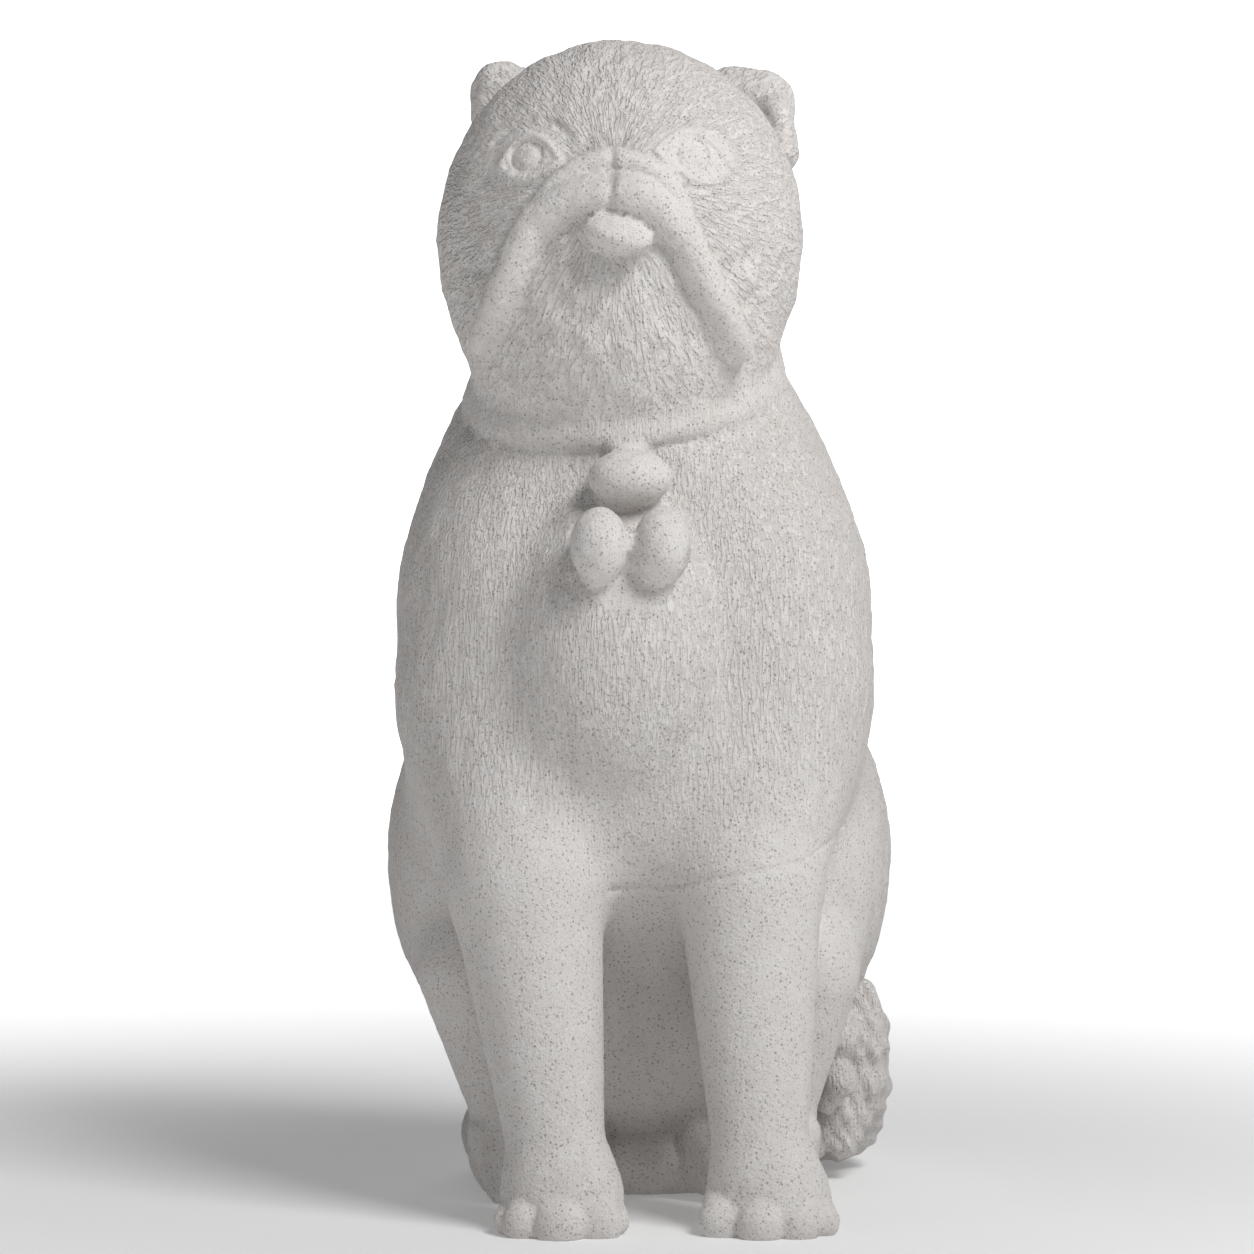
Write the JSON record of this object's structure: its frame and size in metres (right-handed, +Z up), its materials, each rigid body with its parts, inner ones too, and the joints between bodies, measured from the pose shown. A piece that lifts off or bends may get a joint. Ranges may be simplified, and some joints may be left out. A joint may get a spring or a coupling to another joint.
{
  "type": "seated pug statue",
  "caption": "A seated pug carved in one piece of speckled light grey granite, with a rolled collar, a pendant of balls and a curled tail.",
  "frame": {"origin": "centre of the bounding box, on the ground that the statue stands on", "axes": "+Z up along the height, the dog looks along -Y, +X to the dog's left"},
  "size_m": [0.2722, 0.3234, 0.6],
  "materials": {
    "granite": "fine chiselled light grey granite with small dark specks, not polished"
  },
  "bodies": {
    "root": {"seated_pug": "granite"}
  },
  "joints": []
}
